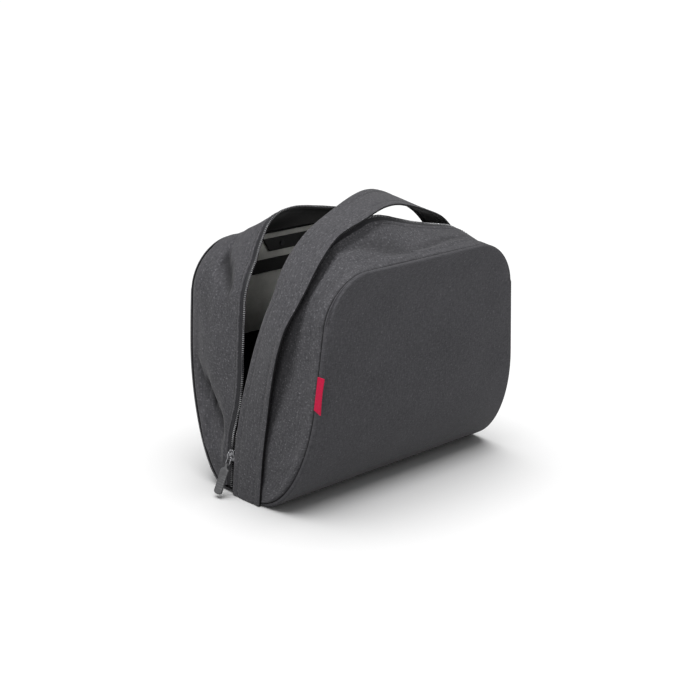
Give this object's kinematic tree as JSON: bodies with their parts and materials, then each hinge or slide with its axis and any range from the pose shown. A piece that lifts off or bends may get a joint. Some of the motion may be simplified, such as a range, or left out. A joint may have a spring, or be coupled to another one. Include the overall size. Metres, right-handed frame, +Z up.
{
  "type": "bicycle handlebar bag",
  "caption": "Boxy cloth handlebar bag with round lower edges, standing open at its zip, with a flat carry strap over the top and a stiff back board inside",
  "frame": {"origin": "on the flat of the bottom, in the middle of the bag's width, where it stands", "axes": "+Z up, -Y the front panel's side, +X across the bag to its right side as seen from the front"},
  "size_m": [0.2676, 0.1778, 0.242],
  "materials": {
    "panel_cloth": "dark charcoal fine weave",
    "gusset_cloth": "charcoal heathered weave",
    "zip_cloth": "black zip tape with a coil",
    "slider_metal": "dark grey metal",
    "tab_rubber": "matt grey rubber",
    "label_red": "red woven ribbon",
    "board_grey": "matt grey board",
    "black_plastic": "black, lightly textured"
  },
  "bodies": {
    "root": {"wrap_panel": "panel_cloth", "front_gusset": "gusset_cloth", "rear_gusset": "gusset_cloth", "handle_strap": "gusset_cloth", "front_zip_tape": "zip_cloth", "rear_zip_tape": "zip_cloth", "zip_slider": "slider_metal", "pull_link": "slider_metal", "pull_tab": "tab_rubber", "side_label": "label_red", "back_board": "board_grey", "board_bar_upper": "black_plastic", "board_bar_lower": "black_plastic", "bar_rivet_left": "slider_metal", "bar_rivet_right": "slider_metal", "rear_mount_plate": "black_plastic"}
  },
  "joints": []
}
